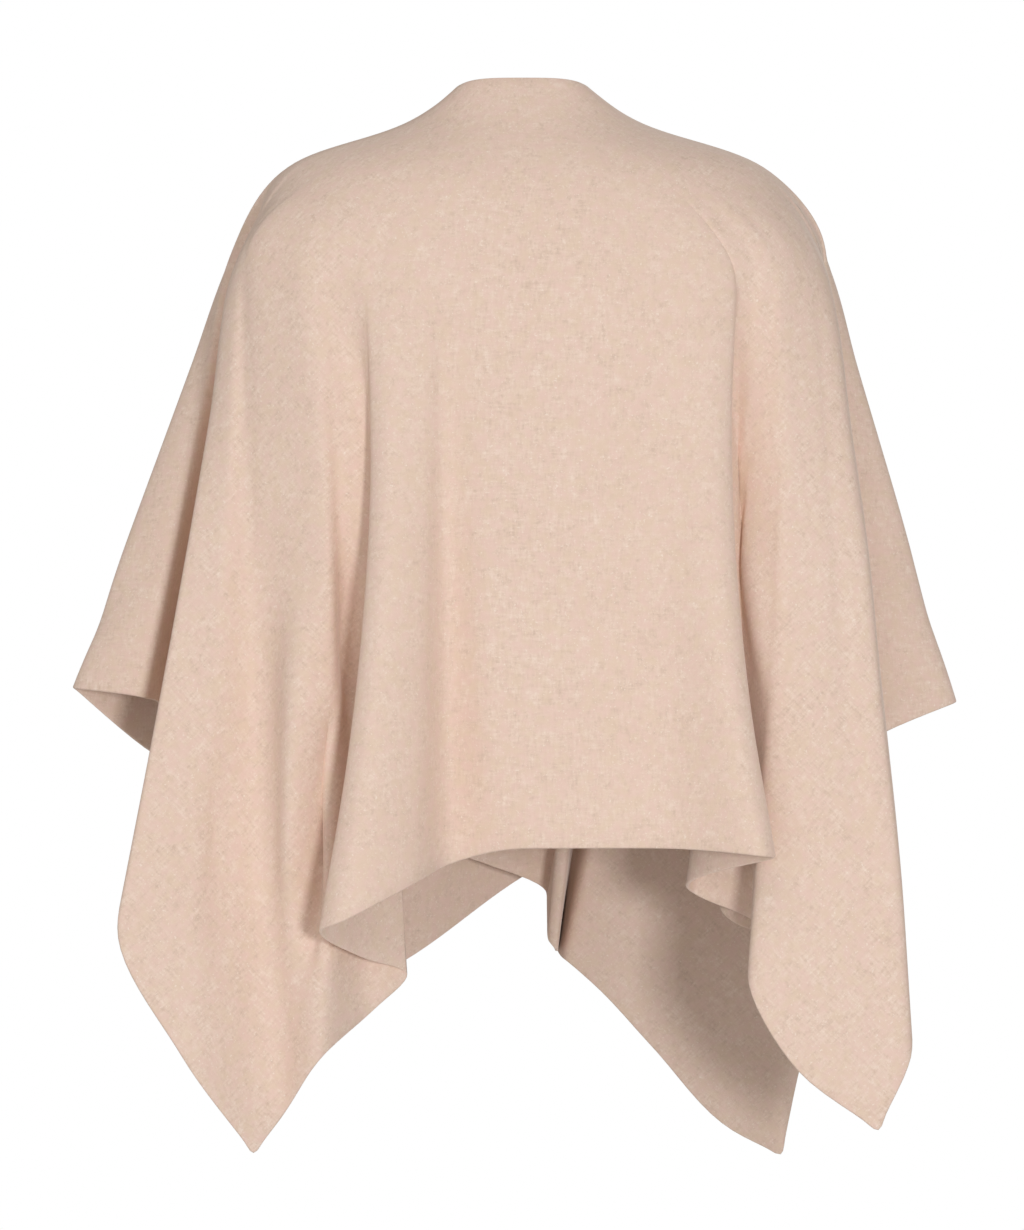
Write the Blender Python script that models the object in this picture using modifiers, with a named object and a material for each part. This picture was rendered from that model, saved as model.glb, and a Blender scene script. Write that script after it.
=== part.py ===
"""Wool cape: one square of felted wool with a slit up the front, worn over the shoulders.

The cloth hangs from rings round the neck and shoulders. Below them each drop line runs to its
own point on the hem, and the table of drops places every fold, ridge and corner.
Metres, +Z up. The wearer faces -Y, so +X is the wearer's left. The origin is the middle of the
neck opening, level with the tops of the shoulders.
"""

from collections import namedtuple

import bpy
import numpy as np

# ---- Driving dimensions -----------------------------------------------------------------------
CUT_WIDTH = 1.44  # the square as cut, from side edge to side edge
BACK_LENGTH = 0.75  # from the shoulder line to the back hem
FRONT_LENGTH = 0.78  # from the shoulder line to the front hem
CLOTH_THICKNESS = 0.003
STIFFNESS = 2.5  # how strongly the cloth carries its slope on past a ridge or valley
WOOL_COLOUR = (0.72, 0.52, 0.40, 1.0)
WOOL_ROUGHNESS = 0.95

COLUMN_WIDTH = 0.040  # of most faces at the hem
NARROW_SPAN = 0.020  # a drop nearer than this to the next has no column between them
NECK_ROWS = (0.0, 0.03, 0.065, 0.11, 0.16, 0.21, 0.26, 0.31, 0.36)  # shares of a drop line
SKIRT_ROWS = 8  # evenly spaced rows from the last neck row to the hem
HANG_SHARES = (0.25, 0.5, 0.75, 1.0)  # levels of a drop below the rings

SIDE_EDGE = CUT_WIDTH / 2  # hem distance from the centre back to a back corner
SHOULDER_LINE = SIDE_EDGE + BACK_LENGTH  # hem distance to the tip over an arm
FRONT_CORNER = SHOULDER_LINE + FRONT_LENGTH  # hem distance to a front corner
FRONT_EDGE = FRONT_CORNER + CUT_WIDTH / 2  # hem distance to a front edge

# ---- Rings ------------------------------------------------------------------------------------
# Each ring is a rounded oblong round the body. at: share of a drop line. middle: x of its
# centre. share: how far the drop lines have moved from even spacing round the neck to the places
# where they hang. sink: how much of its dip a valley has already taken. flatness: how far round
# the sides it keeps the height of its back or front.
RING_FIELDS = "at middle half_width back front z_side z_back z_front squareness share sink flatness"
Ring = namedtuple("Ring", RING_FIELDS)
RINGS = (
    # neck edge, neck root, shoulders, and where the cloth hangs free below them
    Ring(0.000, 0.004, 0.062, 0.064, 0.050, 0.0050, 0.0173, -0.025, 3.0, 0.0, 0.0, 5),
    Ring(0.065, 0.003, 0.100, 0.086, 0.088, -0.0135, -0.0175, -0.055, 2.1, 0.3, 0.0, 2),
    Ring(0.220, 0.001, 0.2125, 0.128, 0.125, -0.0565, -0.087, -0.110, 2.4, 0.8, 0.0, 2),
    Ring(0.360, -0.001, 0.2590, 0.148, 0.150, -0.131, -0.180, -0.190, 3.5, 1.0, 1.0, 2),
)
NECK_SPREAD = 150  # degrees from the centre back to the front edges at the neck
UNDERLAP_STEP = 0.008  # how far the right front passes inside the left
UNDERLAP_START = 150  # degrees from the centre back where the step begins
UNDERLAP_RUN = 20  # degrees over which it grows

# ---- Drops ------------------------------------------------------------------------------------
# One row for each ridge, valley and corner, from the right front edge round the back to the left
# front edge. edge: distance along the cut hem, where it is known; the rest is shared out by length.
# angle: place round the rings, in degrees from the centre back. dip: depth of the valley where
# the cloth begins to hang free. bow: bulge half way down. x, y, z: where it meets the hem.
# sway_x, sway_y: how far it is off straight half way down.
Drop = namedtuple("Drop", "edge angle dip bow x y z sway_x sway_y")
DROPS = (
    Drop(-FRONT_EDGE, -190, 0.000, 0.000, 0.100, -0.185, -0.652, 0.000, 0.000),
    Drop(None, -166, 0.000, 0.000, 0.039, -0.210, -0.672, 0.000, 0.000),
    Drop(None, -158, 0.003, 0.000, -0.021, -0.228, -0.703, 0.000, 0.000),  # fold of the right front
    Drop(None, -156, 0.000, 0.000, -0.021, -0.176, -0.742, 0.012, 0.000),
    Drop(None, -154, 0.000, 0.000, -0.027, -0.174, -0.7474, 0.012, 0.000),
    Drop(None, -151, 0.003, 0.000, -0.030, -0.240, -0.757, 0.006, 0.000),  # its inner fold
    Drop(None, -146, 0.000, 0.000, -0.044, -0.200, -0.762, 0.000, 0.000),
    Drop(None, -143, 0.000, 0.000, -0.066, -0.198, -0.786, 0.000, 0.000),
    Drop(None, -138, 0.000, 0.000, -0.118, -0.206, -0.8425, 0.000, 0.000),
    Drop(None, -131, 0.000, 0.000, -0.194, -0.220, -0.923, 0.000, 0.000),
    Drop(-FRONT_CORNER, -127, 0.000, 0.000, -0.237, -0.210, -0.9435, 0.000, 0.000),  # front corner
    Drop(None, -121, 0.000, 0.010, -0.262, -0.205, -0.835, 0.000, 0.000),
    Drop(None, -112, 0.000, 0.010, -0.308, -0.130, -0.745, 0.000, 0.000),  # ridge of the right front lobe
    Drop(None, -104, 0.004, 0.000, -0.185, -0.070, -0.665, 0.000, 0.000),
    Drop(None, -101, 0.004, 0.000, -0.190, -0.045, -0.640, 0.000, 0.000),  # valley before the right arm
    Drop(None, -96, 0.000, 0.000, -0.322, -0.070, -0.530, 0.000, 0.000),
    Drop(-SHOULDER_LINE, -90, 0.000, 0.000, -0.3706, 0.034, -0.5162, 0.000, 0.000),  # tip over the right arm
    Drop(None, -84, 0.000, 0.000, -0.298, 0.056, -0.546, 0.000, 0.000),
    Drop(None, -79, 0.003, 0.000, -0.174, 0.036, -0.671, 0.000, 0.000),  # valley behind the right arm
    Drop(None, -75, 0.003, 0.000, -0.166, 0.064, -0.690, 0.000, 0.000),
    Drop(None, -67, 0.004, 0.010, -0.314, 0.125, -0.755, 0.000, 0.000),  # outer ridge of the right back lobe
    Drop(None, -59, 0.000, 0.012, -0.318, 0.165, -0.796, 0.000, 0.000),
    Drop(-SIDE_EDGE, -52, 0.000, 0.000, -0.289, 0.180, -0.866, 0.000, 0.000),  # back corner
    Drop(None, -47.5, 0.000, 0.000, -0.221, 0.178, -0.814, 0.000, 0.000),
    Drop(None, -45, 0.000, 0.000, -0.184, 0.165, -0.742, -0.006, -0.004),
    Drop(None, -42, 0.003, 0.000, -0.196, 0.102, -0.705, 0.014, 0.000),
    Drop(None, -39.5, 0.006, 0.000, -0.144, 0.083, -0.679, -0.004, 0.008),  # fold behind the right ridge
    Drop(None, -37.5, 0.006, 0.000, -0.135, 0.100, -0.671, -0.006, 0.008),
    Drop(None, -35.5, 0.002, -0.005, -0.203, 0.195, -0.640, 0.012, 0.000),
    Drop(None, -31.5, 0.000, -0.005, -0.190, 0.208, -0.638, 0.010, 0.000),  # right ridge of the back panel
    Drop(None, -22, 0.000, 0.000, -0.110, 0.170, -0.634, 0.000, 0.000),
    Drop(0.0, 0, 0.000, 0.000, 0.000, 0.163, -0.6345, 0.000, 0.000),  # centre back
    Drop(None, 8, 0.000, 0.000, 0.028, 0.150, -0.638, 0.000, 0.000),
    Drop(None, 14, 0.002, 0.000, 0.060, 0.141, -0.647, 0.000, 0.000),  # soft valley
    Drop(None, 19, 0.000, 0.000, 0.098, 0.193, -0.664, -0.004, 0.000),
    Drop(None, 25, 0.000, 0.000, 0.153, 0.224, -0.691, -0.014, 0.000),  # left ridge of the back panel
    Drop(None, 27, 0.002, 0.000, 0.170, 0.212, -0.699, -0.015, 0.000),
    Drop(None, 31, 0.003, 0.000, 0.103, 0.080, -0.748, -0.004, 0.010),  # fold behind the left ridge
    Drop(None, 33.5, 0.003, 0.000, 0.130, 0.070, -0.777, 0.000, 0.006),
    Drop(None, 39, 0.000, 0.000, 0.176, 0.164, -0.813, -0.024, 0.004),
    Drop(None, 45, 0.002, 0.000, 0.207, 0.134, -0.861, 0.000, 0.000),
    Drop(SIDE_EDGE, 52, 0.000, 0.000, 0.228, 0.158, -0.888, 0.000, 0.000),  # back corner
    Drop(None, 57, 0.000, 0.000, 0.284, 0.200, -0.805, 0.000, 0.000),
    Drop(None, 66, 0.005, 0.000, 0.3375, 0.180, -0.700, -0.003, 0.004),  # outer ridge of the left back lobe
    Drop(None, 73, 0.016, 0.000, 0.300, 0.055, -0.575, 0.000, 0.000),
    Drop(None, 79, 0.018, 0.000, 0.316, 0.034, -0.540, 0.000, 0.000),  # valley behind the left arm
    Drop(None, 84, 0.000, 0.000, 0.328, 0.080, -0.5145, 0.000, 0.004),
    Drop(SHOULDER_LINE, 90, 0.000, 0.000, 0.3895, 0.056, -0.5037, 0.000, 0.000),  # tip over the left arm
    Drop(None, 96, 0.000, 0.000, 0.3345, -0.028, -0.5595, 0.000, 0.000),
    Drop(None, 101, 0.004, 0.000, 0.190, -0.045, -0.640, 0.000, 0.000),  # valley before the left arm
    Drop(None, 104, 0.004, 0.000, 0.185, -0.070, -0.660, 0.000, 0.000),
    Drop(None, 112, 0.000, 0.010, 0.305, -0.165, -0.730, 0.000, 0.000),  # ridge of the left front lobe
    Drop(None, 122, 0.000, 0.010, 0.292, -0.225, -0.790, 0.000, 0.000),
    Drop(FRONT_CORNER, 129, 0.000, 0.000, 0.245, -0.190, -0.880, 0.000, 0.000),  # front corner
    Drop(None, 134, 0.004, 0.000, 0.170, -0.100, -0.812, 0.000, 0.000),  # fold behind the left front panel
    Drop(None, 137, 0.004, 0.000, 0.160, -0.118, -0.803, 0.000, 0.000),
    Drop(None, 145, 0.000, 0.000, 0.212, -0.268, -0.805, 0.000, 0.000),  # ridge of the left front panel
    Drop(None, 150, 0.000, 0.000, 0.190, -0.275, -0.802, 0.000, 0.000),
    Drop(None, 157, 0.004, 0.000, 0.115, -0.228, -0.765, 0.000, 0.000),
    Drop(None, 168, 0.000, 0.000, 0.010, -0.268, -0.693, 0.000, 0.000),
    Drop(FRONT_EDGE, 192, 0.000, 0.000, -0.055, -0.272, -0.654, 0.000, 0.000),
)


def smooth(knots, values, at, breaks=()):
    """A smooth curve through values at knots, read at the places at, that never overshoots them.

    It may turn sharply at the knots whose numbers are in breaks.
    """
    knots, values = np.asarray(knots, float), np.asarray(values, float)
    steps = np.diff(knots)[:, None]
    slopes = np.diff(values, axis=0) / steps
    before, after = slopes[:-1], slopes[1:]
    mixed = (before * steps[1:] + after * steps[:-1]) / (steps[1:] + steps[:-1])
    steepest = STIFFNESS * np.minimum(np.abs(before), np.abs(after)) * (before * after > 0)
    mixed = np.clip(mixed, -steepest, steepest)
    leaving = np.vstack([slopes[:1], mixed, slopes[-1:]])
    arriving = leaving.copy()
    for index in breaks:
        leaving[index], arriving[index] = slopes[index], slopes[index - 1]
    span = np.clip(np.searchsorted(knots, at, side="right") - 1, 0, len(steps) - 1)
    width = steps[span]
    t = (np.asarray(at) - knots[span])[:, None] / width
    return (
        (2 * t**3 - 3 * t**2 + 1) * values[span]
        + (t**3 - 2 * t**2 + t) * width * leaving[span]
        + (3 * t**2 - 2 * t**3) * values[span + 1]
        + (t**3 - t**2) * width * arriving[span + 1]
    )


def ring_points(ring, degrees, dip):
    """Points of a ring at angles from the centre back, positive towards the wearer's left."""
    sine, cosine = np.sin(np.radians(degrees)), np.cos(np.radians(degrees))
    power = ring.squareness
    reach = (np.abs(sine) ** power + np.abs(cosine) ** power) ** (-1 / power)
    depth = np.where(cosine > 0, ring.back, ring.front)
    height = np.where(cosine > 0, ring.z_back, ring.z_front)
    under = np.clip((-degrees - UNDERLAP_START) / UNDERLAP_RUN, 0, 1)
    x = ring.middle + ring.half_width * sine * reach
    y = depth * cosine * reach + UNDERLAP_STEP * under
    z = ring.z_side + (height - ring.z_side) * (1 - np.abs(sine) ** ring.flatness)
    sink = ring.sink * dip
    return np.stack([x - sink * sine, y - sink * cosine, z], axis=1)


def hem_distances():
    """Each drop's distance along the cut hem; those not given are shared out by hanging length."""
    points = np.array([[drop.x, drop.y, drop.z] for drop in DROPS])
    hung = np.append(0, np.cumsum(np.linalg.norm(np.diff(points, axis=0), axis=1)))
    known = [i for i, drop in enumerate(DROPS) if drop.edge is not None]
    return np.interp(hung, hung[known], [DROPS[i].edge for i in known])


def column_edges(knots):
    """Hem distance of each column: a few evenly spaced ones from each drop to the next."""
    edges = []
    for start, end in zip(knots, knots[1:]):
        width = end - start
        count = 1 if width < NARROW_SPAN else max(2, round(width / COLUMN_WIDTH))
        edges.append(np.linspace(start, end, count, endpoint=False))
    return np.append(np.concatenate(edges), knots[-1])


def cloth_grid():
    """Points of the cloth's middle surface, a row for each level from the neck to the hem."""
    knots = hem_distances()
    edge = column_edges(knots)
    cut_corners = (SIDE_EDGE, FRONT_CORNER)
    corners = [i for i, drop in enumerate(DROPS) if drop.edge and abs(drop.edge) in cut_corners]
    lines = [[drop.angle, drop.dip, drop.bow, drop.sway_x, drop.sway_y] for drop in DROPS]
    hang = smooth(knots, lines, edge)
    angle, dip, bow, sway = hang[:, 0], hang[:, 1], hang[:, 2:3], hang[:, 3:] @ np.eye(2, 3)
    hem = smooth(knots, [[drop.x, drop.y, drop.z] for drop in DROPS], edge, corners)
    even = NECK_SPREAD * edge / FRONT_EDGE
    levels = [ring_points(ring, even + (angle - even) * ring.share, dip) for ring in RINGS]
    top, free = levels[-1], RINGS[-1].at
    outward = np.stack([np.sin(np.radians(angle)), np.cos(np.radians(angle)), 0 * angle], axis=1)
    bulge = outward * bow + sway
    for share in HANG_SHARES:
        levels.append(top + (hem - top) * share + bulge * 4 * share * (1 - share))
    places = [ring.at for ring in RINGS] + [free + (1 - free) * share for share in HANG_SHARES]
    rows = np.append(NECK_ROWS, np.linspace(NECK_ROWS[-1], 1, SKIRT_ROWS + 1)[1:])
    flat = smooth(places, [level.ravel() for level in levels], rows)
    return flat.reshape(len(rows), len(edge), 3)


def wool():
    """Beige felted wool."""
    material = bpy.data.materials.new("beige wool")
    material.use_nodes = True
    surface = material.node_tree.nodes["Principled BSDF"]
    surface.inputs["Base Color"].default_value = WOOL_COLOUR
    surface.inputs["Roughness"].default_value = WOOL_ROUGHNESS
    return material


def add_cape(collection):
    """Adds the cloth as an open surface from the neck edge to the hem, then gives it thickness."""
    grid = cloth_grid()
    rows, columns, _ = grid.shape
    corner = np.arange((rows - 1) * columns).reshape(rows - 1, columns)[:, :-1].ravel()
    faces = np.stack([corner, corner + columns, corner + columns + 1, corner + 1], axis=1)
    mesh = bpy.data.meshes.new("cape_cloth")
    mesh.from_pydata(grid.reshape(-1, 3).tolist(), [], faces.tolist())
    mesh.materials.append(wool())
    mesh.shade_smooth()
    cape = bpy.data.objects.new("cape_cloth", mesh)
    collection.objects.link(cape)
    wall = cape.modifiers.new("wall", "SOLIDIFY")
    wall.thickness = CLOTH_THICKNESS
    wall.offset = 0


def main():
    for obj in list(bpy.data.objects):
        bpy.data.objects.remove(obj)
    collection = bpy.data.collections.new("wool_cape")
    bpy.context.scene.collection.children.link(collection)
    add_cape(collection)


main()
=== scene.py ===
"""Wool cape: one rectangle of thick felted wool, slit up the front and worn over the shoulders.

The flat cut is laid over rings round the neck and shoulders, and below them it hangs in drops to
the hem. Metres, +Z up. The wearer faces -Y, so +X is the wearer's left and the back faces +Y.
"""

from __future__ import annotations

import logging
import math
from dataclasses import dataclass, field
from enum import Enum

import bpy
import numpy as np
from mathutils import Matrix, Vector

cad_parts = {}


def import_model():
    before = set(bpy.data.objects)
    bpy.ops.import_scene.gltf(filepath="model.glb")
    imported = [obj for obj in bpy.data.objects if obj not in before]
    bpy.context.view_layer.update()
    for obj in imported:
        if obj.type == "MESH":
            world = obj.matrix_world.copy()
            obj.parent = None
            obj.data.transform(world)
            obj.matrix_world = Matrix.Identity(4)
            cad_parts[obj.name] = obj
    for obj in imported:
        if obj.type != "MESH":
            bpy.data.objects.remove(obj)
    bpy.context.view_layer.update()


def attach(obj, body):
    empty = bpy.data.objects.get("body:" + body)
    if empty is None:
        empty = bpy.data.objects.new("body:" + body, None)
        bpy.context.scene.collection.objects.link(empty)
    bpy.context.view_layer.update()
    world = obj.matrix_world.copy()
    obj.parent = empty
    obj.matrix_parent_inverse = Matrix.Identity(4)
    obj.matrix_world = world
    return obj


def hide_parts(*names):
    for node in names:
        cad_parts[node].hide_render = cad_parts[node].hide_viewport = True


LOG = logging.getLogger("wool_cape")
CAD_NODE = "cape_cloth"
SHORTEST = 1e-12  # a vector no longer than this has no direction
LAST_GAP = 1e-9  # how far short of the fine grid's last row the hem is read, in rows


# ---- Numbers along a curve --------------------------------------------------------------------


def flowing(
    knots: np.ndarray,
    values: np.ndarray,
    at: np.ndarray,
    stiffness: float,
    breaks: tuple[int, ...] = (),
) -> np.ndarray:
    """Reads a smooth curve that never swings past its knots.

    Args:
        knots: rising places along the curve.
        values: a row of numbers for each knot.
        at: the places to read.
        stiffness: how strongly a slope carries on past a knot.
        breaks: numbers of the knots where the curve may turn sharply.

    Returns:
        A row of numbers for each place.
    """
    knots, values = np.asarray(knots, float), np.asarray(values, float)
    steps = np.diff(knots)[:, None]
    slopes = np.diff(values, axis=0) / steps
    before, after = slopes[:-1], slopes[1:]
    mixed = (before * steps[1:] + after * steps[:-1]) / (steps[1:] + steps[:-1])
    steepest = stiffness * np.minimum(np.abs(before), np.abs(after)) * (before * after > 0)
    mixed = np.clip(mixed, -steepest, steepest)
    leaving = np.vstack([slopes[:1], mixed, slopes[-1:]])
    arriving = leaving.copy()
    for index in breaks:
        leaving[index], arriving[index] = slopes[index], slopes[index - 1]
    span = np.clip(np.searchsorted(knots, at, side="right") - 1, 0, len(steps) - 1)
    width = steps[span]
    t = (np.asarray(at) - knots[span])[:, None] / width
    return (
        (2 * t**3 - 3 * t**2 + 1) * values[span]
        + (t**3 - 2 * t**2 + t) * width * leaving[span]
        + (3 * t**2 - 2 * t**3) * values[span + 1]
        + (t**3 - t**2) * width * arriving[span + 1]
    )


def softened(points: np.ndarray, spread: float, axis: int) -> np.ndarray:
    """Softens a grid of points along one axis, and keeps its two ends where they are.

    Args:
        points: an array whose last axis is x, y, z.
        spread: how far each point is blended with its neighbours, in grid steps.
        axis: the axis to soften along.

    Returns:
        The softened grid.
    """
    reach = max(1, math.ceil(3 * spread))
    weights = np.exp(-0.5 * (np.arange(-reach, reach + 1) / spread) ** 2)
    weights /= weights.sum()
    rows = np.moveaxis(points, axis, 0)
    head = 2 * rows[:1] - rows[reach:0:-1]
    tail = 2 * rows[-1:] - rows[-2 : -reach - 2 : -1]
    padded = np.concatenate([head, rows, tail])
    blended = sum(w * padded[i : i + len(rows)] for i, w in enumerate(weights))
    return np.moveaxis(blended, 0, axis)


def unit(vectors: np.ndarray) -> np.ndarray:
    """Vectors scaled to length one."""
    return vectors / np.maximum(np.linalg.norm(vectors, axis=-1, keepdims=True), SHORTEST)


# ---- The flat cut -----------------------------------------------------------------------------


@dataclass(frozen=True)
class ClothCut:
    """The flat cut: a rectangle with an oval neck hole and a slit from it down the front.

    Places on it are in metres from the middle of the neck hole: x towards the wearer's left and y
    up the back. Hem distances run both ways round the hem from the centre back, left positive.
    """

    width: float = 1.44
    back: float = 0.75
    front: float = 0.78
    neck_half_width: float = 0.060
    neck_back: float = 0.056
    neck_front: float = 0.050

    @property
    def back_corner(self) -> float:
        """Hem distance from the centre back to a back corner."""
        return self.width / 2

    @property
    def side(self) -> float:
        """Hem distance to the tip over an arm."""
        return self.back_corner + self.back

    @property
    def front_corner(self) -> float:
        """Hem distance to a front corner."""
        return self.side + self.front

    @property
    def front_edge(self) -> float:
        """Hem distance to a front edge."""
        return self.front_corner + self.width / 2

    def places(self, edges: np.ndarray, shares: np.ndarray) -> np.ndarray:
        """Places on the flat cut of a grid of cloth.

        Args:
            edges: hem distance of each column.
            shares: share of the way from the neck hole to the hem for each row.

        Returns:
            An array of rows, columns and x, y.
        """
        half = self.width / 2
        reach = np.abs(edges)
        marks = (0, self.back_corner, self.side, self.front_corner, self.front_edge)
        across = np.interp(reach, marks, (0, half, half, half, 0))
        along = np.interp(reach, marks, (self.back, self.back, 0, -self.front, -self.front))
        turn = math.pi * edges / self.front_edge
        depth = np.where(np.cos(turn) > 0, self.neck_back, self.neck_front)
        neck = np.stack([self.neck_half_width * np.sin(turn), depth * np.cos(turn)], axis=1)
        hem = np.stack([np.sign(edges) * across, along], axis=1)
        return neck + (hem - neck) * shares[:, None, None]


# ---- The worn form ----------------------------------------------------------------------------


@dataclass(frozen=True)
class Ring:
    """A rounded oblong round the body that the cloth lies on.

    at: share of the way down a drop. middle: x of its centre. share: how far the drops have moved
    from even spacing round the neck to the places where they hang. sink: how much of its dip a
    valley has already taken. flatness: how far round the sides it keeps the height of its back or
    front.
    """

    at: float
    middle: float
    half_width: float
    back: float
    front: float
    z_side: float
    z_back: float
    z_front: float
    squareness: float
    share: float
    sink: float
    flatness: float = 2.0


@dataclass(frozen=True)
class Drop:
    """A line of cloth from the neck to its own point on the hem.

    edge: hem distance where the cut gives it. angle: place round the rings, in degrees from the
    centre back. dip: depth of the valley where the cloth begins to hang free. bow: bulge half way
    down. x, y, z: its point on the hem. sway: how far it is off straight half way down, along x
    and y.
    """

    edge: float | None
    angle: float
    dip: float
    bow: float
    x: float
    y: float
    z: float
    sway: tuple[float, float] = (0.0, 0.0)


CUT = ClothCut()

# At the edge of the neck, at its root, over the shoulders, and where the cloth begins to hang.
RINGS = (
    Ring(0.000, 0.004, 0.062, 0.064, 0.050, 0.0050, 0.0173, -0.025, 3.0, 0.0, 0.0, 5.0),
    Ring(0.065, 0.003, 0.100, 0.086, 0.088, -0.0135, -0.0175, -0.055, 2.1, 0.3, 0.0),
    Ring(0.220, 0.001, 0.2125, 0.128, 0.125, -0.0565, -0.087, -0.110, 2.4, 0.8, 0.0),
    Ring(0.360, -0.001, 0.2590, 0.148, 0.150, -0.131, -0.180, -0.190, 3.5, 1.0, 1.0),
)

# A line for each ridge, valley, tip and corner, from the wearer's right front edge round the back
# to the left front edge.
DROPS = (
    Drop(-CUT.front_edge, -190, 0.000, 0.000, 0.100, -0.185, -0.652),  # right front edge
    Drop(None, -166, 0.000, 0.000, 0.039, -0.210, -0.672),
    Drop(None, -158, 0.003, 0.000, -0.021, -0.228, -0.703),  # fold of the right front
    Drop(None, -156, 0.000, 0.000, -0.021, -0.176, -0.742, (0.012, 0.000)),
    Drop(None, -154, 0.000, 0.000, -0.027, -0.174, -0.7474, (0.012, 0.000)),
    Drop(None, -151, 0.003, 0.000, -0.030, -0.264, -0.757, (0.006, 0.000)),  # its inner fold
    Drop(None, -146, 0.000, 0.000, -0.038, -0.200, -0.762),
    Drop(None, -143, 0.000, 0.000, -0.066, -0.198, -0.786),
    Drop(None, -138, 0.000, 0.000, -0.118, -0.206, -0.8425),
    Drop(None, -131, 0.000, 0.000, -0.194, -0.220, -0.923),
    Drop(-CUT.front_corner, -127, 0.000, 0.000, -0.237, -0.210, -0.9435),  # right front corner
    Drop(None, -121, 0.000, 0.010, -0.262, -0.205, -0.835),
    Drop(None, -112, 0.000, 0.010, -0.308, -0.130, -0.745),  # ridge of the right front lobe
    Drop(None, -104, 0.004, 0.000, -0.185, -0.070, -0.665),
    Drop(None, -101, 0.004, 0.000, -0.190, -0.045, -0.640),  # valley before the right arm
    Drop(None, -96, 0.000, 0.000, -0.322, -0.070, -0.530),
    Drop(-CUT.side, -90, 0.000, 0.000, -0.3706, 0.034, -0.5162),  # tip over the right arm
    Drop(None, -84, 0.000, 0.000, -0.298, 0.056, -0.546),
    Drop(None, -79, 0.003, 0.000, -0.174, 0.036, -0.671),  # valley behind the right arm
    Drop(None, -75, 0.003, 0.000, -0.166, 0.064, -0.690),
    Drop(None, -67, 0.004, 0.010, -0.314, 0.125, -0.755),  # outer ridge of the right back lobe
    Drop(None, -59, 0.000, 0.012, -0.318, 0.165, -0.796),
    Drop(-CUT.back_corner, -52, 0.000, 0.000, -0.289, 0.180, -0.866),  # right back corner
    Drop(None, -47.5, 0.000, 0.000, -0.221, 0.178, -0.814),
    Drop(None, -45, 0.000, 0.000, -0.184, 0.165, -0.742, (-0.006, -0.004)),
    Drop(None, -42, 0.003, 0.000, -0.196, 0.102, -0.705, (0.014, 0.000)),
    Drop(None, -39.5, 0.006, 0.000, -0.144, 0.083, -0.679, (-0.004, 0.008)),  # fold beside the right ridge
    Drop(None, -37.5, 0.006, 0.000, -0.135, 0.100, -0.671, (-0.006, 0.008)),
    Drop(None, -35.5, 0.002, -0.005, -0.203, 0.195, -0.640, (0.012, 0.000)),
    Drop(None, -31.5, 0.000, -0.005, -0.190, 0.208, -0.638, (0.010, 0.000)),  # right ridge of the back
    Drop(None, -22, 0.000, 0.000, -0.110, 0.170, -0.634),
    Drop(0.0, 0, 0.000, 0.000, 0.000, 0.163, -0.6345),  # centre back
    Drop(None, 8, 0.000, 0.000, 0.028, 0.150, -0.638),
    Drop(None, 14, 0.002, 0.000, 0.060, 0.141, -0.647),  # soft valley of the back
    Drop(None, 19, 0.000, 0.000, 0.098, 0.193, -0.664, (-0.004, 0.000)),
    Drop(None, 25, 0.000, 0.000, 0.153, 0.224, -0.691, (-0.014, 0.000)),  # left ridge of the back
    Drop(None, 27, 0.002, 0.000, 0.170, 0.212, -0.699, (-0.015, 0.000)),
    Drop(None, 29, 0.003, 0.000, 0.136, 0.150, -0.727, (-0.010, 0.000)),
    Drop(None, 31, 0.004, 0.000, 0.102, 0.122, -0.744, (-0.004, 0.000)),  # fold beside the left ridge
    Drop(None, 33.5, 0.002, 0.000, 0.128, 0.122, -0.771, (0.004, 0.000)),
    Drop(None, 39, 0.000, 0.000, 0.176, 0.164, -0.813, (-0.012, 0.000)),  # inner edge of its lobe
    Drop(None, 45, 0.002, 0.000, 0.207, 0.150, -0.861),
    Drop(CUT.back_corner, 52, 0.000, 0.000, 0.228, 0.158, -0.888),  # left back corner
    Drop(None, 57, 0.000, 0.000, 0.284, 0.186, -0.805),
    Drop(None, 66, 0.005, 0.000, 0.3375, 0.180, -0.700, (-0.003, 0.004)),  # outer ridge of its lobe
    Drop(None, 73, 0.016, 0.000, 0.300, 0.055, -0.560),
    Drop(None, 79, 0.018, 0.000, 0.316, 0.034, -0.520),  # valley behind the left arm
    Drop(None, 84, 0.000, 0.000, 0.328, 0.080, -0.511, (0.000, 0.004)),
    Drop(CUT.side, 90, 0.000, 0.000, 0.3895, 0.056, -0.5037),  # tip over the left arm
    Drop(None, 96, 0.000, 0.000, 0.3325, -0.008, -0.5587),
    Drop(None, 101, 0.004, 0.000, 0.190, -0.045, -0.640),  # valley before the left arm
    Drop(None, 104, 0.004, 0.000, 0.185, -0.070, -0.660),
    Drop(None, 112, 0.000, 0.010, 0.305, -0.165, -0.730),  # ridge of the left front lobe
    Drop(None, 122, 0.000, 0.010, 0.292, -0.225, -0.790),
    Drop(CUT.front_corner, 129, 0.000, 0.000, 0.245, -0.190, -0.880),  # left front corner
    Drop(None, 134, 0.004, 0.000, 0.170, -0.100, -0.812),  # fold behind the left front
    Drop(None, 137, 0.004, 0.000, 0.160, -0.118, -0.803),
    Drop(None, 145, 0.000, 0.000, 0.212, -0.268, -0.805),  # ridge of the left front
    Drop(None, 150, 0.000, 0.000, 0.190, -0.275, -0.802),
    Drop(None, 157, 0.004, 0.000, 0.115, -0.228, -0.765),
    Drop(None, 168, 0.000, 0.000, 0.010, -0.268, -0.693),
    Drop(CUT.front_edge, 192, 0.000, 0.000, -0.055, -0.272, -0.654),  # left front edge
)


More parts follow.
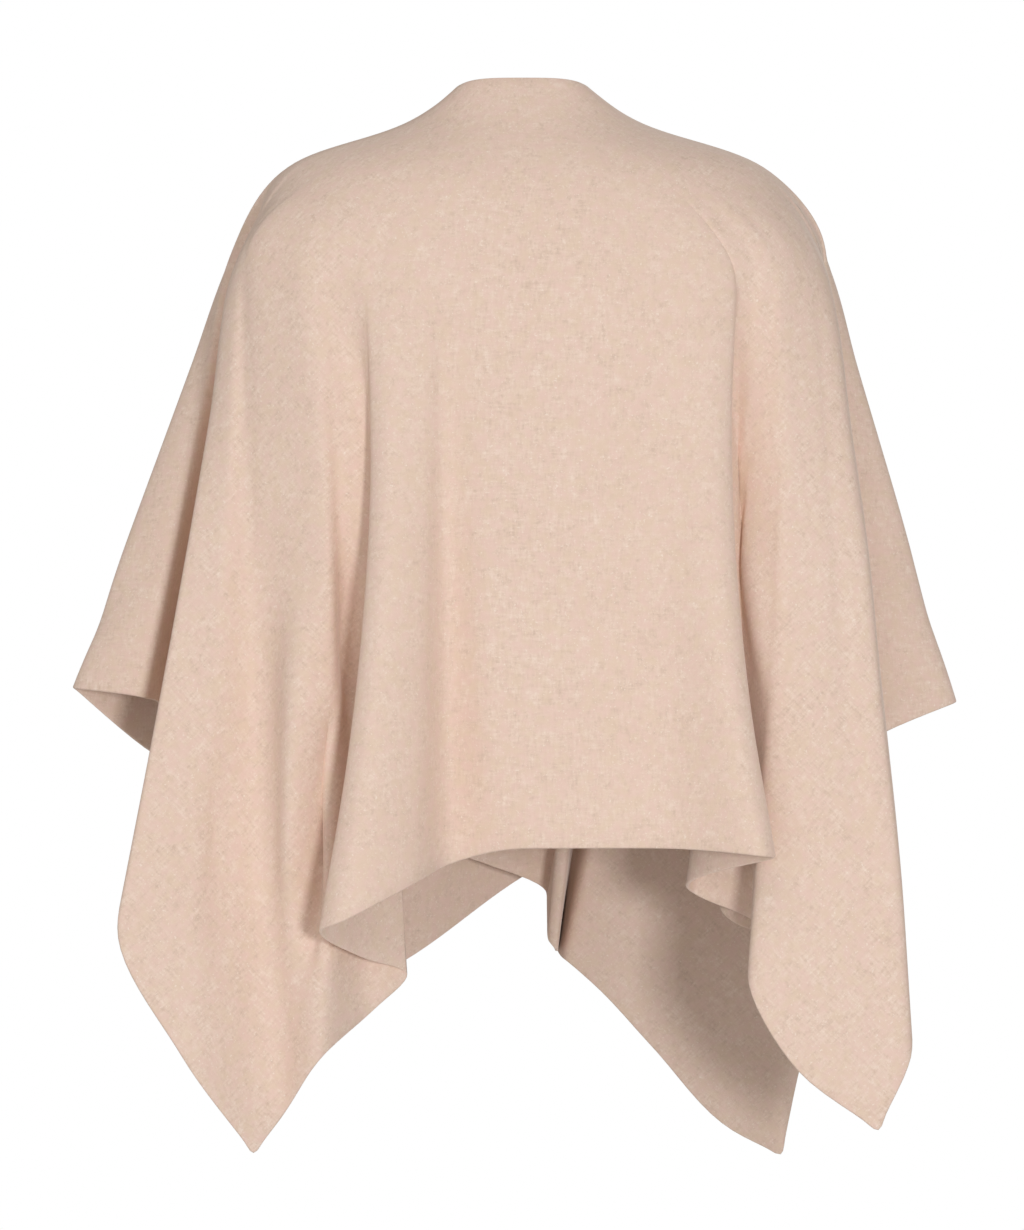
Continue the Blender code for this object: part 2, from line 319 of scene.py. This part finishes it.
@dataclass(frozen=True)
class WornForm:
    """The cloth's middle surface as it is worn."""

    cut: ClothCut = CUT
    rings: tuple[Ring, ...] = RINGS
    drops: tuple[Drop, ...] = DROPS
    stiffness: float = 2.5
    neck_spread: float = 150.0  # degrees from the centre back to the front edges at the neck
    underlap: float = 0.008  # how far the right front passes inside the left
    underlap_start: float = 150.0  # degrees from the centre back
    underlap_run: float = 20.0
    hang_parts: tuple[float, ...] = (0.25, 0.5, 0.75, 1.0)  # shares of the free length
    edge_step: float = 0.003
    share_step: float = 0.005
    fold_radius: float = 0.005  # softens the folds across
    hang_radius: float = 0.012  # softens the drops along, as a share of their length
    tip_radius: float = 0.010  # how near a corner the hem stays pointed

    def ring_points(self, ring: Ring, degrees: np.ndarray, dip: np.ndarray) -> np.ndarray:
        """Points of a ring.

        Args:
            ring: the ring.
            degrees: angles from the centre back, positive towards the wearer's left.
            dip: the depth of the valley at each angle.

        Returns:
            A point for each angle.
        """
        sine, cosine = np.sin(np.radians(degrees)), np.cos(np.radians(degrees))
        even = np.abs(sine) ** ring.squareness + np.abs(cosine) ** ring.squareness
        reach = even ** (-1 / ring.squareness)
        depth = np.where(cosine > 0, ring.back, ring.front)
        height = np.where(cosine > 0, ring.z_back, ring.z_front)
        under = np.clip((-degrees - self.underlap_start) / self.underlap_run, 0, 1)
        x = ring.middle + ring.half_width * sine * reach
        y = depth * cosine * reach + self.underlap * under
        z = ring.z_side + (height - ring.z_side) * (1 - np.abs(sine) ** ring.flatness)
        sink = ring.sink * dip
        return np.stack([x - sink * sine, y - sink * cosine, z], axis=1)

    def hem_distances(self) -> np.ndarray:
        """Each drop's hem distance; those that the cut doesn't give are shared out by length."""
        points = np.array([[drop.x, drop.y, drop.z] for drop in self.drops])
        hung = np.append(0, np.cumsum(np.linalg.norm(np.diff(points, axis=0), axis=1)))
        known = [i for i, drop in enumerate(self.drops) if drop.edge is not None]
        return np.interp(hung, hung[known], [self.drops[i].edge for i in known])

    def hung(self, edges: np.ndarray, shares: np.ndarray) -> np.ndarray:
        """The cloth as the rings and drops alone place it.

        Args:
            edges: hem distance of each column.
            shares: share of the drop for each row.

        Returns:
            An array of rows, columns and x, y, z.
        """
        knots = self.hem_distances()
        tips = (self.cut.back_corner, self.cut.front_corner)
        sharp = tuple(i for i, d in enumerate(self.drops) if d.edge and abs(d.edge) in tips)
        lines = [[drop.angle, drop.dip, drop.bow, *drop.sway] for drop in self.drops]
        hang = flowing(knots, lines, edges, self.stiffness)
        angle, dip, bow = hang[:, 0], hang[:, 1], hang[:, 2:3]
        ends = [[drop.x, drop.y, drop.z] for drop in self.drops]
        hem = flowing(knots, ends, edges, self.stiffness, sharp)
        even = self.neck_spread * edges / self.cut.front_edge
        levels = [self.ring_points(r, even + (angle - even) * r.share, dip) for r in self.rings]
        top, free = levels[-1], self.rings[-1].at
        turn = np.radians(angle)
        outward = np.stack([np.sin(turn), np.cos(turn), 0 * turn], axis=1)
        swell = outward * bow + hang[:, 3:] @ np.eye(2, 3)
        places = [ring.at for ring in self.rings]
        for part in self.hang_parts:
            levels.append(top + (hem - top) * part + swell * 4 * part * (1 - part))
            places.append(free + (1 - free) * part)
        flat = flowing(places, [level.ravel() for level in levels], shares, self.stiffness)
        return flat.reshape(len(shares), len(edges), 3)

    def settled(self) -> tuple[np.ndarray, np.ndarray, np.ndarray]:
        """The cloth with every fold and drop softened, on a fine even grid.

        Returns:
            The hem distances, the shares and the points.
        """
        reach = self.cut.front_edge
        edges = np.linspace(-reach, reach, round(2 * reach / self.edge_step) + 1)
        shares = np.linspace(0, 1, round(1 / self.share_step) + 1)
        hung = self.hung(edges, shares)
        soft = softened(hung, self.fold_radius / self.edge_step, 1)
        soft = softened(soft, self.hang_radius / self.share_step, 0)
        drop_length = self.cut.back
        for tip in (self.cut.back_corner, self.cut.front_corner):
            for place in (-tip, tip):
                column = int(np.argmin(np.abs(edges - place)))
                pull = hung[-1, column] - soft[-1, column]
                near = np.exp(-(((edges - place) / self.tip_radius) ** 2))
                low = np.exp(-(((1 - shares) * drop_length / self.tip_radius) ** 2))
                soft += low[:, None, None] * near[None, :, None] * pull
        return edges, shares, soft


# ---- Creases ----------------------------------------------------------------------------------


class Bend(Enum):
    """Which way a crease stands, as the sign of its height."""

    RIDGE = 1.0
    TROUGH = -1.0


@dataclass(frozen=True)
class Crease:
    """A soft crease along a curve on the flat cut.

    start, middle, end: its places on the cut. width: from its middle line to where a third of it
    is left. height: how far it stands out or sinks in at its middle. fade: the share of its length
    over which it comes and goes at each end. blunt: how broad its rounded middle is.
    """

    bend: Bend
    start: tuple[float, float]
    middle: tuple[float, float]
    end: tuple[float, float]
    width: float
    height: float
    fade: float = 0.45
    blunt: float = 0.030
    samples: int = 13

    def lift(self, places: np.ndarray) -> np.ndarray:
        """How far the crease moves each place of the cut outwards.

        Args:
            places: an array of rows, columns and x, y on the cut.

        Returns:
            The heights, an array of rows and columns.
        """
        t = np.linspace(0, 1, self.samples)[:, None]
        start, middle, end = (np.array(p) for p in (self.start, self.middle, self.end))
        line = start * (1 - t) ** 2 + middle * 2 * t * (1 - t) + end * t**2
        nearest = np.full(places.shape[:2], np.inf)
        along = np.zeros(places.shape[:2])
        for a, b, part in zip(line, line[1:], t[:, 0]):
            step = b - a
            reach = np.clip(((places - a) @ step) / (step @ step), 0, 1)
            gap = np.linalg.norm(places - a - reach[..., None] * step, axis=2)
            closer = gap < nearest
            nearest = np.where(closer, gap, nearest)
            along = np.where(closer, part + reach / (self.samples - 1), along)
        ends = np.clip(np.minimum(along, 1 - along) / self.fade, 0, 1)
        rise = ends * ends * (3 - 2 * ends)
        slope = (np.hypot(nearest, self.blunt) - self.blunt) / (
            math.hypot(self.width, self.blunt) - self.blunt
        )
        return self.bend.value * self.height * rise * np.exp(-slope)


CREASES = (
    # Beside the left ridge of the back.
    Crease(Bend.TROUGH, (0.420, 0.545), (0.495, 0.610), (0.590, 0.700), 0.018, 0.024, 0.30, 0.012),
    Crease(Bend.TROUGH, (0.296, 0.455), (0.336, 0.508), (0.405, 0.580), 0.014, 0.012, 0.40, 0.008),
    # On the inner edge of the right back lobe.
    Crease(Bend.RIDGE, (-0.250, 0.435), (-0.340, 0.519), (-0.420, 0.590), 0.013, 0.010, 0.45, 0.008),
    # Down the left back lobe.
    Crease(Bend.TROUGH, (0.374, 0.401), (0.512, 0.546), (0.705, 0.765), 0.026, 0.008, 0.35, 0.014),
    Crease(Bend.RIDGE, (0.384, 0.458), (0.482, 0.562), (0.610, 0.700), 0.022, 0.020, 0.35, 0.014),
    Crease(Bend.TROUGH, (0.520, 0.470), (0.590, 0.550), (0.700, 0.660), 0.040, 0.006),
    Crease(Bend.TROUGH, (0.175, 0.235), (0.210, 0.320), (0.250, 0.420), 0.018, 0.004),
    # Beside the right ridge of the back.
    Crease(Bend.TROUGH, (-0.145, 0.285), (-0.160, 0.345), (-0.218, 0.430), 0.014, 0.006, 0.45, 0.006),
    Crease(Bend.TROUGH, (-0.160, 0.330), (-0.215, 0.430), (-0.310, 0.510), 0.010, 0.009, 0.35, 0.005),
    # Down the middle of the back.
    Crease(Bend.TROUGH, (-0.035, 0.210), (-0.055, 0.290), (-0.060, 0.370), 0.022, 0.002),
    Crease(Bend.RIDGE, (0.014, 0.300), (0.030, 0.540), (0.048, 0.860), 0.034, 0.013, 0.45, 0.012),
    # Over the shoulders.
    Crease(Bend.RIDGE, (0.120, 0.160), (0.200, 0.220), (0.260, 0.330), 0.030, 0.0025),
    Crease(Bend.TROUGH, (0.190, 0.090), (0.250, 0.150), (0.300, 0.230), 0.022, 0.0025),
    Crease(Bend.TROUGH, (-0.215, 0.060), (-0.264, 0.142), (-0.305, 0.230), 0.030, 0.006, 0.50),
    # Down the outer sides of the back lobes.
    Crease(Bend.RIDGE, (-0.330, 0.330), (-0.420, 0.430), (-0.520, 0.560), 0.034, 0.003),
    Crease(Bend.TROUGH, (-0.450, 0.380), (-0.550, 0.500), (-0.640, 0.620), 0.026, 0.003),
    Crease(Bend.TROUGH, (0.500, 0.420), (0.580, 0.520), (0.650, 0.640), 0.028, 0.003),
    # Towards the tips over the arms.
    Crease(Bend.TROUGH, (0.560, 0.060), (0.640, 0.020), (0.720, -0.040), 0.024, 0.003),
    Crease(Bend.TROUGH, (-0.520, 0.050), (-0.620, 0.010), (-0.720, -0.030), 0.026, 0.003),
    # Down the fronts.
    Crease(Bend.TROUGH, (0.150, -0.260), (0.210, -0.420), (0.230, -0.600), 0.024, 0.004),
    Crease(Bend.RIDGE, (0.300, -0.330), (0.420, -0.480), (0.520, -0.660), 0.032, 0.004),
    Crease(Bend.TROUGH, (-0.260, -0.300), (-0.380, -0.440), (-0.500, -0.600), 0.028, 0.004),
    Crease(Bend.TROUGH, (0.080, -0.200), (0.090, -0.320), (0.070, -0.450), 0.020, 0.003),
)


# ---- The wool ---------------------------------------------------------------------------------


class Grain(Enum):
    """How a mark of the wool runs, as its fineness along x, y and z, and its turn in degrees."""

    WARP = ((1.0, 1.0, 0.26), 0.0)
    WEFT = ((0.26, 0.26, 1.0), 0.0)
    BIAS_WARP = ((1.0, 1.0, 0.26), 45.0)
    BIAS_WEFT = ((0.26, 0.26, 1.0), 45.0)
    NONE = ((1.0, 1.0, 1.0), 0.0)


@dataclass(frozen=True)
class Marks:
    """A pattern of small marks in the wool.

    fineness: marks per metre of cloth. grain: how they run. shift: moves them away from the other
    patterns, in metres. detail: how many finer patterns they carry.
    """

    fineness: float
    grain: Grain
    shift: float
    detail: float = 2.0


@dataclass(frozen=True)
class Fibres:
    """Fibres of one colour that show where their own pattern is high.

    low, high: the values of the pattern that give nothing and the most. most: the largest amount.
    """

    marks: Marks
    colour: tuple[float, float, float]
    low: float
    high: float
    most: float


@dataclass(frozen=True)
class WoolFinish:
    """Brushed and felted wool: a heather of light and dark fibres over a soft weave."""

    name: str = "felted_wool"
    bias_map: str = "bias"
    warp: Marks = Marks(430, Grain.WARP, 0.3)
    weft: Marks = Marks(430, Grain.WEFT, 0.7)
    bias_warp: Marks = Marks(430, Grain.BIAS_WARP, 1.3)
    bias_weft: Marks = Marks(430, Grain.BIAS_WEFT, 1.7)
    felt: Marks = Marks(1000, Grain.NONE, 1.1)
    mottle: Marks = Marks(150, Grain.NONE, 2.9)
    cloud: Marks = Marks(22, Grain.NONE, 2.3)
    # Shares of warp, weft, felt, mottle and cloud in the colour.
    heather: tuple[float, ...] = (0.28, 0.28, 0.16, 0.18, 0.10)
    shade: tuple[float, float, float] = (0.665, 0.490, 0.385)
    body: tuple[float, float, float] = (0.800, 0.612, 0.496)
    light: tuple[float, float, float] = (0.900, 0.730, 0.620)
    shade_at: float = 0.37  # value of the heather that gives the shade
    body_at: float = 0.50
    light_at: float = 0.63
    rosy: Fibres = Fibres(Marks(95, Grain.NONE, 3.1), (0.820, 0.595, 0.505), 0.40, 0.65, 0.8)
    sandy: Fibres = Fibres(Marks(80, Grain.NONE, 4.3), (0.790, 0.610, 0.462), 0.48, 0.66, 0.6)
    pale: Fibres = Fibres(Marks(520, Grain.NONE, 5.9, 1.0), (0.950, 0.820, 0.720), 0.64, 0.76, 0.6)
    roughness: float = 0.95
    specular: float = 0.15
    sheen: float = 0.38
    sheen_roughness: float = 0.50
    sheen_tint: tuple[float, float, float] = (1.0, 0.90, 0.82)
    nap_strength: float = 0.45
    nap_depth: float = 0.0008
    nap: tuple[float, ...] = (0.3, 0.3, 0.4)  # shares of warp, weft and felt
    fray: float = 0.6  # how strongly the finer patterns show
    shift_run: tuple[float, float, float] = (1.0, 0.7, 0.3)  # the way a shift goes

    def pattern(self, tree: bpy.types.NodeTree, marks: Marks) -> bpy.types.NodeSocket:
        """Adds a pattern of marks.

        Args:
            tree: the material's nodes.
            marks: the pattern.

        Returns:
            The pattern's value, about one half on average.
        """
        sides, turn = marks.grain.value
        cloth = tree.nodes.new("ShaderNodeTexCoord")
        mapping = tree.nodes.new("ShaderNodeMapping")
        mapping.vector_type = "TEXTURE"
        mapping.inputs["Location"].default_value = [marks.shift * run for run in self.shift_run]
        mapping.inputs["Rotation"].default_value = (0, math.radians(turn), 0)
        mapping.inputs["Scale"].default_value = [1 / (marks.fineness * side) for side in sides]
        tree.links.new(cloth.outputs["Object"], mapping.inputs["Vector"])
        noise = tree.nodes.new("ShaderNodeTexNoise")
        noise.inputs["Scale"].default_value = 1.0
        noise.inputs["Detail"].default_value = marks.detail
        noise.inputs["Roughness"].default_value = self.fray
        tree.links.new(mapping.outputs["Vector"], noise.inputs["Vector"])
        return noise.outputs["Fac"]

    @staticmethod
    def summed(
        tree: bpy.types.NodeTree,
        patterns: tuple[bpy.types.NodeSocket, ...],
        shares: tuple[float, ...],
    ) -> bpy.types.NodeSocket:
        """Adds patterns together.

        Args:
            tree: the material's nodes.
            patterns: the patterns.
            shares: the weight of each.

        Returns:
            The sum.
        """
        total: bpy.types.NodeSocket | None = None
        for socket, weight in zip(patterns, shares):
            add = tree.nodes.new("ShaderNodeMath")
            add.operation = "MULTIPLY_ADD"
            add.inputs[1].default_value = weight
            add.inputs[2].default_value = 0.0
            tree.links.new(socket, add.inputs[0])
            if total is not None:
                tree.links.new(total, add.inputs[2])
            total = add.outputs[0]
        return total

    def tinted(
        self, tree: bpy.types.NodeTree, under: bpy.types.NodeSocket, fibres: Fibres
    ) -> bpy.types.NodeSocket:
        """Lays fibres of one colour over the rest.

        Args:
            tree: the material's nodes.
            under: the colour below.
            fibres: the fibres.

        Returns:
            The mixed colour.
        """
        amount = tree.nodes.new("ShaderNodeMapRange")
        amount.inputs["From Min"].default_value = fibres.low
        amount.inputs["From Max"].default_value = fibres.high
        amount.inputs["To Max"].default_value = fibres.most
        tree.links.new(self.pattern(tree, fibres.marks), amount.inputs["Value"])
        mix = tree.nodes.new("ShaderNodeMix")
        mix.data_type = "RGBA"
        mix.inputs["B"].default_value = (*fibres.colour, 1.0)
        tree.links.new(amount.outputs["Result"], mix.inputs["Factor"])
        tree.links.new(under, mix.inputs["A"])
        return mix.outputs["Result"]

    def threads(
        self, tree: bpy.types.NodeTree, straight: Marks, bias: Marks
    ) -> bpy.types.NodeSocket:
        """Adds one set of threads, turned to the bias where the cloth hangs from a corner.

        Args:
            tree: the material's nodes.
            straight: the threads where the cut hangs straight.
            bias: the threads where it hangs from a corner.

        Returns:
            The threads' value.
        """
        share = tree.nodes.new("ShaderNodeAttribute")
        share.attribute_name = self.bias_map
        mix = tree.nodes.new("ShaderNodeMix")
        mix.data_type = "FLOAT"
        tree.links.new(share.outputs["Fac"], mix.inputs["Factor"])
        tree.links.new(self.pattern(tree, straight), mix.inputs["A"])
        tree.links.new(self.pattern(tree, bias), mix.inputs["B"])
        return mix.outputs["Result"]

    def make(self) -> bpy.types.Material:
        """Makes the material.

        Returns:
            The wool material.
        """
        material = bpy.data.materials.new(self.name)
        material.use_nodes = True
        tree = material.node_tree
        surface = tree.nodes["Principled BSDF"]
        surface.inputs["Roughness"].default_value = self.roughness
        surface.inputs["Specular IOR Level"].default_value = self.specular
        surface.inputs["Sheen Weight"].default_value = self.sheen
        surface.inputs["Sheen Roughness"].default_value = self.sheen_roughness
        surface.inputs["Sheen Tint"].default_value = (*self.sheen_tint, 1.0)

        warp = self.threads(tree, self.warp, self.bias_warp)
        weft = self.threads(tree, self.weft, self.bias_weft)
        felt, mottle, cloud = (
            self.pattern(tree, marks) for marks in (self.felt, self.mottle, self.cloud)
        )
        ramp = tree.nodes.new("ShaderNodeValToRGB")
        steps = ramp.color_ramp.elements
        steps[0].position = self.shade_at
        steps[0].color = (*self.shade, 1.0)
        steps[1].position = self.light_at
        steps[1].color = (*self.light, 1.0)
        steps.new(self.body_at).color = (*self.body, 1.0)
        heather = self.summed(tree, (warp, weft, felt, mottle, cloud), self.heather)
        tree.links.new(heather, ramp.inputs["Fac"])
        colour = ramp.outputs["Color"]
        for fibres in (self.rosy, self.sandy, self.pale):
            colour = self.tinted(tree, colour, fibres)
        tree.links.new(colour, surface.inputs["Base Color"])

        bump = tree.nodes.new("ShaderNodeBump")
        bump.inputs["Strength"].default_value = self.nap_strength
        bump.inputs["Distance"].default_value = self.nap_depth
        nap = self.summed(tree, (warp, weft, felt), self.nap)
        tree.links.new(nap, bump.inputs["Height"])
        tree.links.new(bump.outputs["Normal"], surface.inputs["Normal"])
        return material


# ---- The cape ---------------------------------------------------------------------------------


@dataclass
class CapeCloth:
    """The cape's cloth, a closed shell with a rounded cut edge."""

    form: WornForm = field(default_factory=WornForm)
    finish: WoolFinish = field(default_factory=WoolFinish)
    creases: tuple[Crease, ...] = CREASES
    thickness: float = 0.003
    flat_spacing: float = 0.020  # between columns at the hem where the cloth is flat
    turn_step: float = 0.42  # radians of a fold to each column
    turn_rows: int = 20  # fine rows from one look at the folds to the next
    turn_blend: float = 4.0  # how far a tight fold draws columns near, in fine columns
    yoke_rows: int = 34
    skirt_rows: int = 46
    rim_points: int = 3  # between the faces, round the cut edge

    def columns(self, edges: np.ndarray, points: np.ndarray) -> np.ndarray:
        """Chooses columns that are close where the folds are tight.

        Args:
            edges: the fine grid's hem distances.
            points: the fine grid's points.

        Returns:
            The hem distance of each column, with the corners among them.
        """
        lower = points[len(points) // 2 :: self.turn_rows]
        runs = unit(np.diff(lower, axis=1))
        turns = np.arccos(np.clip((runs[:, 1:] * runs[:, :-1]).sum(2), -1, 1)).max(0)
        turns = softened(np.pad(turns, 1)[:, None], self.turn_blend, 0)[:, 0]
        density = self.form.edge_step / self.flat_spacing + turns / self.turn_step
        measure = np.append(0, np.cumsum((density[1:] + density[:-1]) / 2))
        count = math.ceil(measure[-1])
        chosen = np.interp(np.linspace(0, measure[-1], count + 1), measure, edges)
        cut = self.form.cut
        for tip in (cut.back_corner, cut.front_corner):
            for place in (-tip, tip):
                chosen[int(np.argmin(np.abs(chosen - place)))] = place
        return chosen

    def rows(self) -> np.ndarray:
        """The share of each row, closer over the shoulders than below."""
        free = self.form.rings[-1].at
        yoke = np.linspace(0, free, self.yoke_rows, endpoint=False)
        return np.append(yoke, np.linspace(free, 1, self.skirt_rows + 1))

    def surface(self) -> tuple[np.ndarray, np.ndarray]:
        """The middle surface with its creases.

        Returns:
            The points, and the place of each on the cut.
        """
        edges, shares, fine = self.form.settled()
        spots = self.form.cut.places(edges, shares)
        lift = sum((crease.lift(spots) for crease in self.creases), np.zeros(fine.shape[:2]))
        fine = fine + outward_normals(fine) * lift[..., None]
        columns, rows = self.columns(edges, fine), self.rows()
        spot = np.interp(columns, edges, np.arange(len(edges)))
        low = np.minimum(spot.astype(int), len(edges) - 2)
        part = (spot - low)[:, None]
        wide = fine[:, low] * (1 - part) + fine[:, low + 1] * part
        spot = np.clip(rows / self.form.share_step, 0, len(shares) - 1 - LAST_GAP)
        low = spot.astype(int)
        part = (spot - low)[:, None, None]
        points = wide[low] * (1 - part) + wide[low + 1] * part
        LOG.info("cloth grid of %d rows and %d columns", len(rows), len(columns))
        return points, self.form.cut.places(columns, rows)

    def build(self) -> bpy.types.Object:
        """Makes the shell.

        Returns:
            The finished cloth, undressed.
        """
        points, places = self.surface()
        normals = outward_normals(points)
        rows, columns = points.shape[:2]
        half = self.thickness / 2
        count = rows * columns
        outer = (points + normals * half).reshape(-1, 3)
        inner = (points - normals * half).reshape(-1, 3)
        index = np.arange(count).reshape(rows, columns)
        quads = np.stack(
            [index[:-1, :-1], index[:-1, 1:], index[1:, 1:], index[1:, :-1]], axis=2
        ).reshape(-1, 4)
        loop = np.concatenate([index[0, :-1], index[:-1, -1], index[-1, :0:-1], index[:0:-1, 0]])
        away = self.rim_directions(points.reshape(-1, 3), normals.reshape(-1, 3), loop)
        turns = np.linspace(math.pi / 2, -math.pi / 2, self.rim_points + 2)[1:-1]
        middle, across = points.reshape(-1, 3)[loop], normals.reshape(-1, 3)[loop]
        rims = [middle + half * (away * math.cos(a) + across * math.sin(a)) for a in turns]
        strips = [loop]
        strips += [2 * count + np.arange(len(loop)) + i * len(loop) for i in range(len(rims))]
        strips += [loop + count]
        faces = [quads, quads[:, ::-1] + count]
        for above, below in zip(strips, strips[1:]):
            faces.append(
                np.stack([above, below, np.roll(below, -1), np.roll(above, -1)], axis=1)
            )
        vertices = np.concatenate([outer, inner, *rims])
        faces = np.concatenate(faces)
        spot = np.concatenate([index.ravel(), index.ravel(), *[loop] * len(rims)])
        # 0 where a drop runs straight along the cut and 1 where it runs to a corner of a square.
        turn = np.abs(unit(places).prod(axis=2)).ravel() * 2

        mesh = bpy.data.meshes.new("cape")
        mesh.from_pydata(vertices.tolist(), [], faces.tolist())
        bias = mesh.attributes.new(self.finish.bias_map, "FLOAT", "POINT")
        bias.data.foreach_set("value", turn[spot].astype(np.float32))
        mesh.shade_smooth()
        cape = bpy.data.objects.new("cape", mesh)
        bpy.context.scene.collection.objects.link(cape)
        LOG.info("cape: %d faces", len(mesh.polygons))
        return cape

    @staticmethod
    def rim_directions(points: np.ndarray, normals: np.ndarray, loop: np.ndarray) -> np.ndarray:
        """Directions out of the cloth along its own surface, round its cut edge.

        Args:
            points: the middle surface's points.
            normals: their outward normals.
            loop: the numbers of the points round the edge.

        Returns:
            A direction for each point of the loop.
        """
        run = np.roll(points[loop], -1, axis=0) - np.roll(points[loop], 1, axis=0)
        return unit(np.cross(run, normals[loop]))

    def dress(self) -> bpy.types.Object:
        """Builds the cape, gives it its wool and sets it on the frame.

        Returns:
            The finished cape.
        """
        cape = self.build()
        cape.data.materials.append(self.finish.make())
        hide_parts(CAD_NODE)
        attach(cape, "root")
        return cape


def outward_normals(points: np.ndarray) -> np.ndarray:
    """Normals of a grid of cloth, on the side away from the wearer.

    Args:
        points: an array of rows from neck to hem, columns from right front to left front, and
            x, y, z.

    Returns:
        A normal for each point.
    """
    down = np.gradient(points, axis=0)
    across = np.gradient(points, axis=1)
    return unit(np.cross(across, down))


# ---- The studio -------------------------------------------------------------------------------


@dataclass(frozen=True)
class Softbox:
    """A square studio light that points at the cape."""

    name: str
    place: tuple[float, float, float]
    size: float
    power: float
    tint: tuple[float, float, float] = (1.0, 1.0, 1.0)


@dataclass
class Studio:
    """The camera, the lights and a plain pale floor."""

    aim: tuple[float, float, float] = (0.0, 0.0, -0.45)
    camera_place: tuple[float, float, float] = (0.013, 3.2, -0.442)
    frame_pixels: int = 1024  # width of the picture
    focal_pixels: float = 3657.0  # the lens's length in the same pixels
    sensor: float = 36.0
    floor_height: float = -1.42  # below a grown wearer's shoulders
    floor_radius: float = 2.2
    floor_sides: int = 96
    floor_shade: tuple[float, float, float] = (0.85, 0.85, 0.85)
    floor_roughness: float = 0.9
    ambient: float = 0.325
    ambient_tint: tuple[float, float, float] = (1.0, 0.965, 0.93)
    softboxes: tuple[Softbox, ...] = (
        Softbox("key", (-0.72, 3.2, -0.5), 0.4, 43.0, (0.97, 1.0, 1.03)),
        Softbox("fill", (1.8, 2.3, -0.2), 1.5, 6.0),
        Softbox("top", (0.7, 1.9, 2.0), 2.0, 19.0),
    )

    def set_camera(self) -> None:
        """Sets the camera level behind the wearer."""
        data = bpy.data.cameras.new("camera")
        data.sensor_fit = "HORIZONTAL"
        data.sensor_width = self.sensor
        data.lens = self.sensor * self.focal_pixels / self.frame_pixels
        camera = bpy.data.objects.new("camera", data)
        camera.location = self.camera_place
        camera.rotation_euler = (math.pi / 2, 0, math.pi)
        bpy.context.scene.collection.objects.link(camera)
        bpy.context.scene.camera = camera

    def set_lights(self) -> None:
        """Hangs the softboxes and lights the room evenly."""
        for box in self.softboxes:
            data = bpy.data.lights.new(box.name, "AREA")
            data.shape = "SQUARE"
            data.size = box.size
            data.energy = box.power
            data.color = box.tint
            light = bpy.data.objects.new(box.name, data)
            light.location = box.place
            towards = Vector(self.aim) - Vector(box.place)
            light.rotation_euler = towards.to_track_quat("-Z", "Y").to_euler()
            bpy.context.scene.collection.objects.link(light)
        world = bpy.data.worlds.new("studio")
        world.use_nodes = True
        nodes, links = world.node_tree.nodes, world.node_tree.links
        room = nodes["Background"]
        room.inputs["Color"].default_value = (*self.ambient_tint, 1)
        room.inputs["Strength"].default_value = self.ambient
        paper = nodes.new("ShaderNodeBackground")
        paper.inputs["Color"].default_value = (1, 1, 1, 1)
        rays = nodes.new("ShaderNodeLightPath")
        seen = nodes.new("ShaderNodeMixShader")
        links.new(rays.outputs["Is Camera Ray"], seen.inputs["Fac"])
        links.new(room.outputs["Background"], seen.inputs[1])
        links.new(paper.outputs["Background"], seen.inputs[2])
        links.new(seen.outputs["Shader"], nodes["World Output"].inputs["Surface"])
        bpy.context.scene.world = world
        bpy.context.scene.view_settings.view_transform = "Standard"

    def lay_floor(self) -> None:
        """Lays the floor."""
        bpy.ops.object.select_all(action="DESELECT")
        bpy.ops.mesh.primitive_circle_add(
            vertices=self.floor_sides,
            radius=self.floor_radius,
            fill_type="NGON",
            location=(0, 0, self.floor_height),
        )
        floor = bpy.context.active_object
        floor.name = "studio_floor"
        paint = bpy.data.materials.new("pale_floor")
        paint.use_nodes = True
        surface = paint.node_tree.nodes["Principled BSDF"]
        surface.inputs["Base Color"].default_value = (*self.floor_shade, 1)
        surface.inputs["Roughness"].default_value = self.floor_roughness
        floor.data.materials.append(paint)

    def build(self) -> None:
        """Sets up the whole studio."""
        self.set_camera()
        self.set_lights()
        self.lay_floor()


def main() -> None:
    """Builds the cape and its studio."""
    logging.basicConfig(level=logging.INFO, format="%(name)s: %(message)s")
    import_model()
    Studio().build()
    cape = CapeCloth().dress()
    LOG.info("%s finished", cape.name)


if __name__ == "__main__":
    main()
